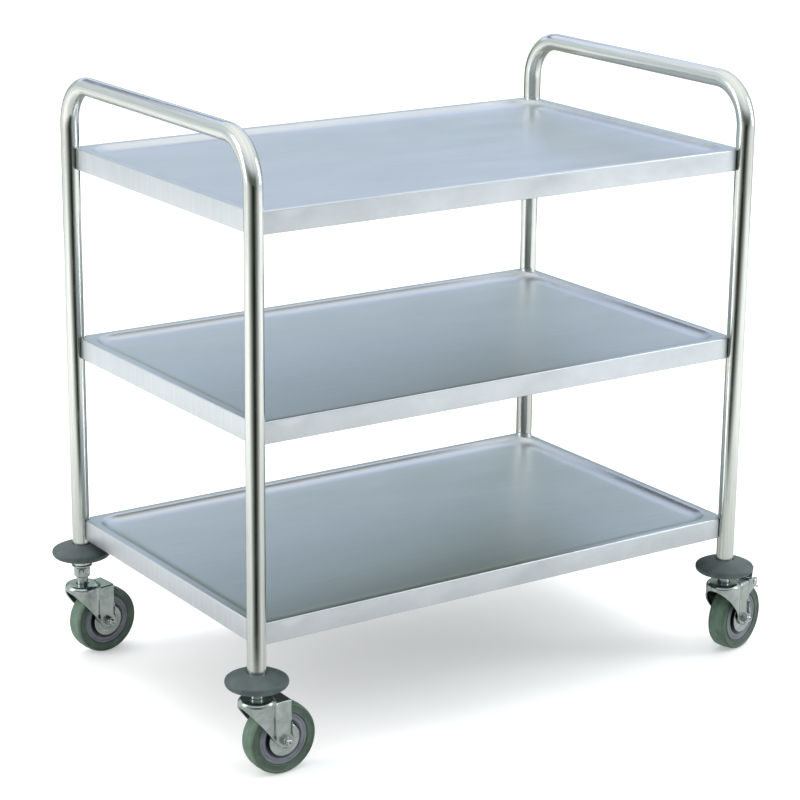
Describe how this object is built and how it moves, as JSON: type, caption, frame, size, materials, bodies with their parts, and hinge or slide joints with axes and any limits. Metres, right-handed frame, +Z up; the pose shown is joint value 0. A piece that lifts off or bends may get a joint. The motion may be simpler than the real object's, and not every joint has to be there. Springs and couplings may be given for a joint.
{
  "type": "food service trolley",
  "caption": "Three-tier stainless food service trolley with tube hoop handles at both ends, bumper rings and swivel casters, two of them braked.",
  "frame": {"origin": "on the floor, midway between the four posts", "axes": "+X along the shelves towards the end with the braked casters, +Y across the shelves, +Z up"},
  "size_m": [0.93, 0.585, 0.8642],
  "materials": {
    "polished_tube": "polished stainless tube with a fine lengthwise grain",
    "satin_sheet": "pressed stainless sheet, satin brushed along its length",
    "bumper_rubber": "matte moulded slate-grey rubber",
    "zinc_plate": "bright zinc-plated pressed steel",
    "tyre_rubber": "matte non-marking grey-green rubber",
    "hub_nylon": "moulded grey nylon",
    "bright_fastener": "bright plated bolts and nuts"
  },
  "bodies": {
    "trolley_frame": {"left_hoop": "polished_tube", "right_hoop": "polished_tube", "bottom_shelf": "satin_sheet", "middle_shelf": "satin_sheet", "top_shelf": "satin_sheet", "bottom_shelf_bolt_front_left": "bright_fastener", "bottom_shelf_bolt_back_left": "bright_fastener", "bottom_shelf_bolt_front_right": "bright_fastener", "bottom_shelf_bolt_back_right": "bright_fastener", "middle_shelf_bolt_front_left": "bright_fastener", "middle_shelf_bolt_back_left": "bright_fastener", "middle_shelf_bolt_front_right": "bright_fastener", "middle_shelf_bolt_back_right": "bright_fastener", "top_shelf_bolt_front_left": "bright_fastener", "top_shelf_bolt_back_left": "bright_fastener", "top_shelf_bolt_front_right": "bright_fastener", "top_shelf_bolt_back_right": "bright_fastener", "front_left_bumper": "bumper_rubber", "front_left_stem": "zinc_plate", "back_left_bumper": "bumper_rubber", "back_left_stem": "zinc_plate", "front_right_bumper": "bumper_rubber", "front_right_stem": "zinc_plate", "back_right_bumper": "bumper_rubber", "back_right_stem": "zinc_plate"},
    "front_left_caster": {"front_left_fork": "zinc_plate", "front_left_axle_bolt": "bright_fastener", "front_left_axle_nut": "bright_fastener", "front_left_outer_guard": "zinc_plate", "front_left_inner_guard": "zinc_plate"},
    "front_left_wheel": {"front_left_hub": "hub_nylon", "front_left_tyre": "tyre_rubber"},
    "back_left_caster": {"back_left_fork": "zinc_plate", "back_left_axle_bolt": "bright_fastener", "back_left_axle_nut": "bright_fastener", "back_left_outer_guard": "zinc_plate", "back_left_inner_guard": "zinc_plate"},
    "back_left_wheel": {"back_left_hub": "hub_nylon", "back_left_tyre": "tyre_rubber"},
    "front_right_caster": {"front_right_fork": "zinc_plate", "front_right_axle_bolt": "bright_fastener", "front_right_axle_nut": "bright_fastener", "front_right_outer_guard": "zinc_plate", "front_right_inner_guard": "zinc_plate", "front_right_pedal_pin": "bright_fastener"},
    "front_right_wheel": {"front_right_hub": "hub_nylon", "front_right_tyre": "tyre_rubber"},
    "front_right_pedal": {"front_right_brake_pedal": "zinc_plate"},
    "back_right_caster": {"back_right_fork": "zinc_plate", "back_right_axle_bolt": "bright_fastener", "back_right_axle_nut": "bright_fastener", "back_right_outer_guard": "zinc_plate", "back_right_inner_guard": "zinc_plate", "back_right_pedal_pin": "bright_fastener"},
    "back_right_wheel": {"back_right_hub": "hub_nylon", "back_right_tyre": "tyre_rubber"},
    "back_right_pedal": {"back_right_brake_pedal": "zinc_plate"}
  },
  "joints": [
    {"name": "front_left_swivel", "type": "hinge", "parent": "trolley_frame", "child": "front_left_caster", "pos_m": [-0.4, -0.25, 0.1], "axis": [0, 0, 1], "continuous": true},
    {"name": "front_left_wheel_spin", "type": "hinge", "parent": "front_left_caster", "child": "front_left_wheel", "pos_m": [-0.367, -0.25, 0.05], "axis": [0, 1, 0], "continuous": true},
    {"name": "back_left_swivel", "type": "hinge", "parent": "trolley_frame", "child": "back_left_caster", "pos_m": [-0.4, 0.25, 0.1], "axis": [0, 0, 1], "continuous": true},
    {"name": "back_left_wheel_spin", "type": "hinge", "parent": "back_left_caster", "child": "back_left_wheel", "pos_m": [-0.36718, 0.25345, 0.05], "axis": [-0.1045, 0.9945, 0], "continuous": true},
    {"name": "front_right_swivel", "type": "hinge", "parent": "trolley_frame", "child": "front_right_caster", "pos_m": [0.4, -0.25, 0.1], "axis": [0, 0, 1], "continuous": true},
    {"name": "front_right_wheel_spin", "type": "hinge", "parent": "front_right_caster", "child": "front_right_wheel", "pos_m": [0.43172, -0.2409, 0.05], "axis": [-0.2756, 0.9613, 0], "continuous": true},
    {"name": "front_right_brake", "type": "hinge", "parent": "front_right_caster", "child": "front_right_pedal", "pos_m": [0.45575, -0.23401, 0.1], "axis": [-0.2756, 0.9613, 0], "range_deg": [0, 10]},
    {"name": "back_right_swivel", "type": "hinge", "parent": "trolley_frame", "child": "back_right_caster", "pos_m": [0.4, 0.25, 0.1], "axis": [0, 0, 1], "continuous": true},
    {"name": "back_right_wheel_spin", "type": "hinge", "parent": "back_right_caster", "child": "back_right_wheel", "pos_m": [0.4325, 0.25573, 0.05], "axis": [-0.1736, 0.9848, 0], "continuous": true},
    {"name": "back_right_brake", "type": "hinge", "parent": "back_right_caster", "child": "back_right_pedal", "pos_m": [0.45712, 0.26007, 0.1], "axis": [-0.1736, 0.9848, 0], "range_deg": [0, 10]}
  ]
}
